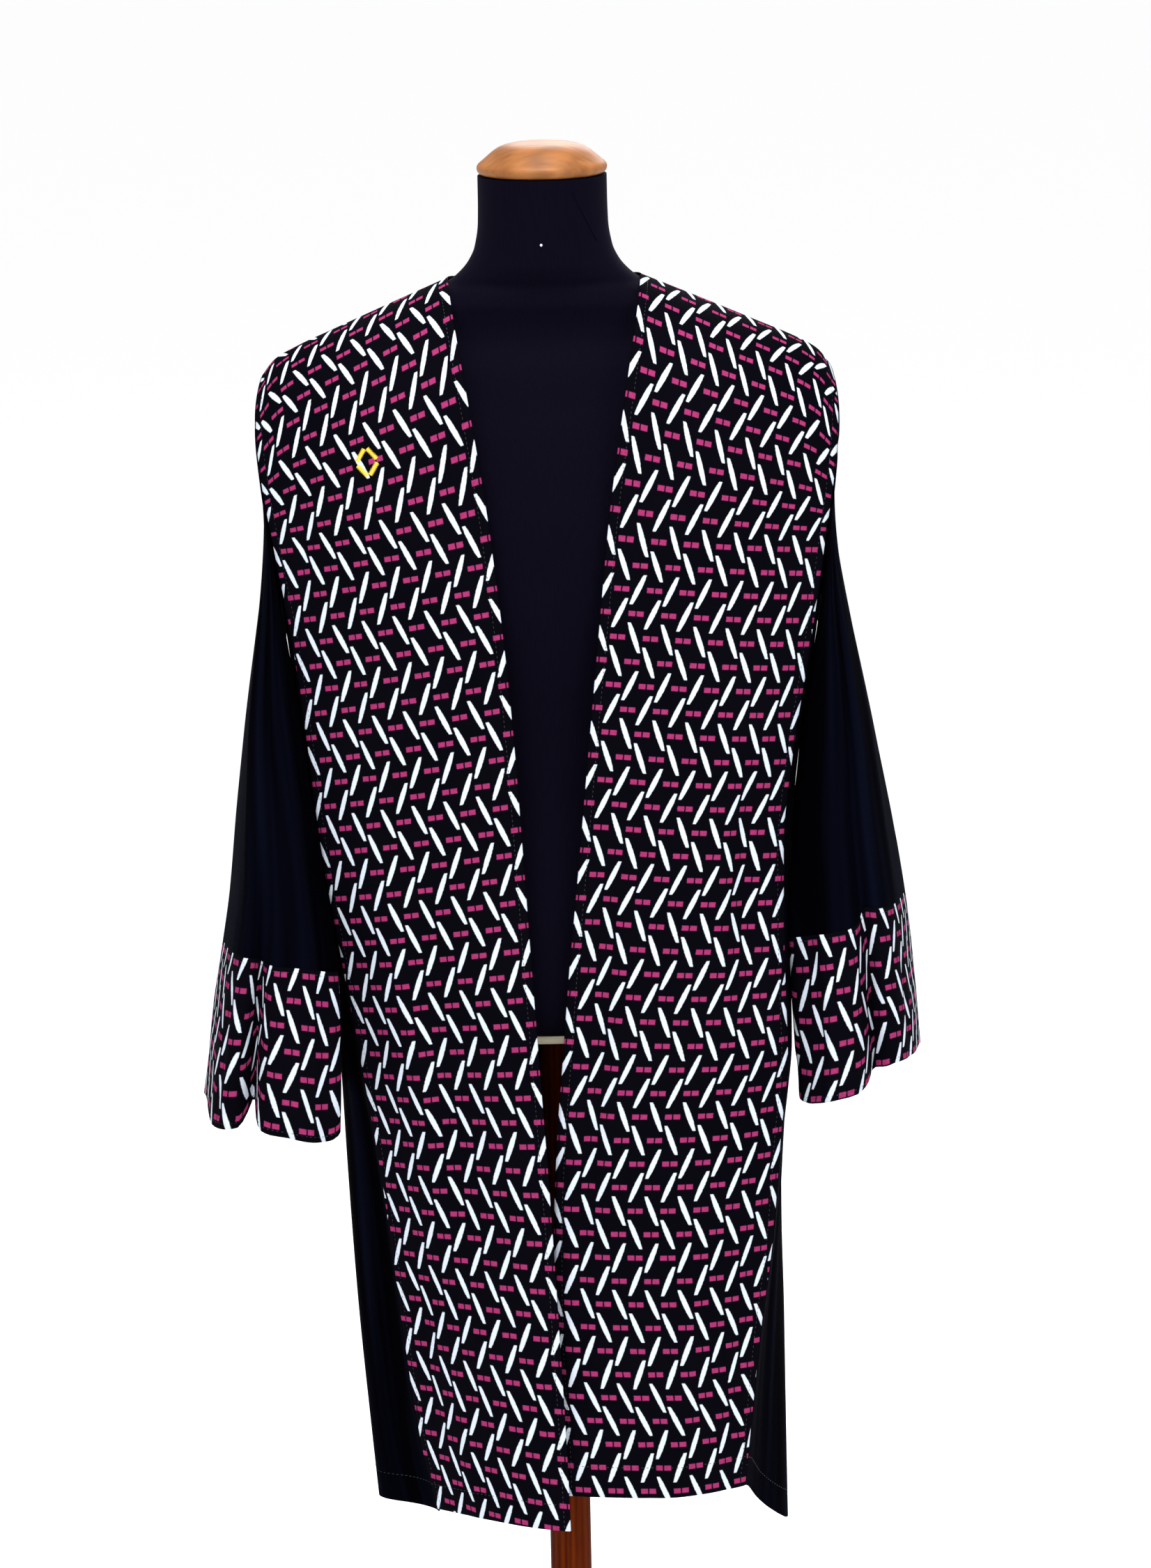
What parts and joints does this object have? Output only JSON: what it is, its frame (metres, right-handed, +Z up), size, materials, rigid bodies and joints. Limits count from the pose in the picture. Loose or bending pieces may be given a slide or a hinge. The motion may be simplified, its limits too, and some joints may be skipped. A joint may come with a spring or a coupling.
{
  "type": "graduation gown on a dress form",
  "caption": "Open-front knee-length black graduation gown with wide patterned front panels and deep patterned bell cuffs, worn by a limbless dress form on a wooden pole and round foot",
  "frame": {"origin": "centre of the foot's underside, where the stand meets the floor", "axes": "+Z up along the pole, the gown's open front faces -Y, +X is towards the wearer's left"},
  "size_m": [0.6683, 0.34, 1.6121],
  "materials": {
    "patterned_cloth": "matte printed weave, white and pink strokes on near-black",
    "black_cloth": "matte woven",
    "form_jersey": "matte knitted jersey",
    "cap_wood": "honey-coloured satin varnish",
    "stand_wood": "brown satin stain",
    "pale_board": "raw pale board"
  },
  "bodies": {
    "root": {"panel_right": "patterned_cloth", "panel_left": "patterned_cloth", "side_front_right": "black_cloth", "side_front_left": "black_cloth", "back": "black_cloth", "sleeve_right": "black_cloth", "sleeve_left": "black_cloth", "cuff_right": "patterned_cloth", "cuff_left": "patterned_cloth", "form_torso": "form_jersey", "neck_cap": "cap_wood", "torso_base": "pale_board", "pole": "stand_wood", "foot": "stand_wood"}
  },
  "joints": []
}
